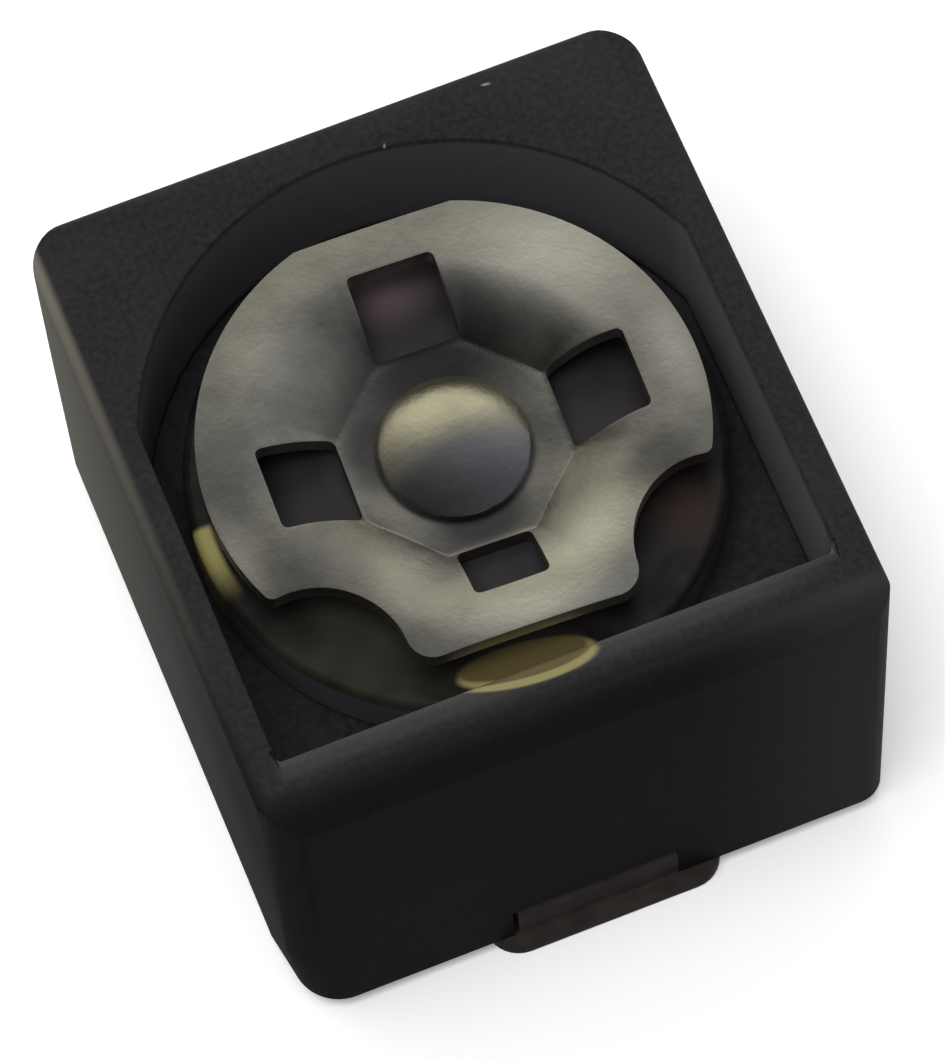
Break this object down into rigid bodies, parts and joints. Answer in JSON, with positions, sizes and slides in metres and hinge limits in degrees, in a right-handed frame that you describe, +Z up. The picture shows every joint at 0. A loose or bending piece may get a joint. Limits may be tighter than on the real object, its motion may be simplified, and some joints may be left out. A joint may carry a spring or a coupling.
{
  "type": "trimmer capacitor",
  "caption": "Surface-mount ceramic trimmer capacitor: a moulded case with two soldering feet and a slotted rotor that turns to set the capacitance.",
  "frame": {"origin": "on the rotor's axis at the board plane, the centre of the part's footprint", "axes": "+Z up along the rotor's axis, -Y towards the stator terminal, +Y towards the rotor terminal, +X to the right when seen from the stator side"},
  "size_m": [0.004, 0.0044, 0.003],
  "materials": {
    "case_resin": "glass-filled moulding resin, fine matt, grey-black",
    "tinned_metal": "copper alloy strip, dull tin plating",
    "spring_metal": "rolled spring strip, bright",
    "rotor_ceramic": "fired dielectric ceramic, lapped and glossy, yellow-brown",
    "silver_film": "fired silver film",
    "plate_metal": "stamped sheet, dull nickel plating with a fine grain",
    "shaft_metal": "headed pin, dull silver plating, slightly yellow"
  },
  "bodies": {
    "housing": {"case": "case_resin", "stator_terminal": "tinned_metal", "rotor_terminal": "tinned_metal", "spring_washer": "spring_metal"},
    "rotor": {"ceramic_rotor": "rotor_ceramic", "rotor_electrode": "silver_film", "driver_plate": "plate_metal", "centre_shaft": "shaft_metal"}
  },
  "joints": [
    {"name": "rotor_turn", "type": "hinge", "parent": "housing", "child": "rotor", "pos_m": [0, 0, 0.002], "axis": [0, 0, 1], "continuous": true}
  ]
}
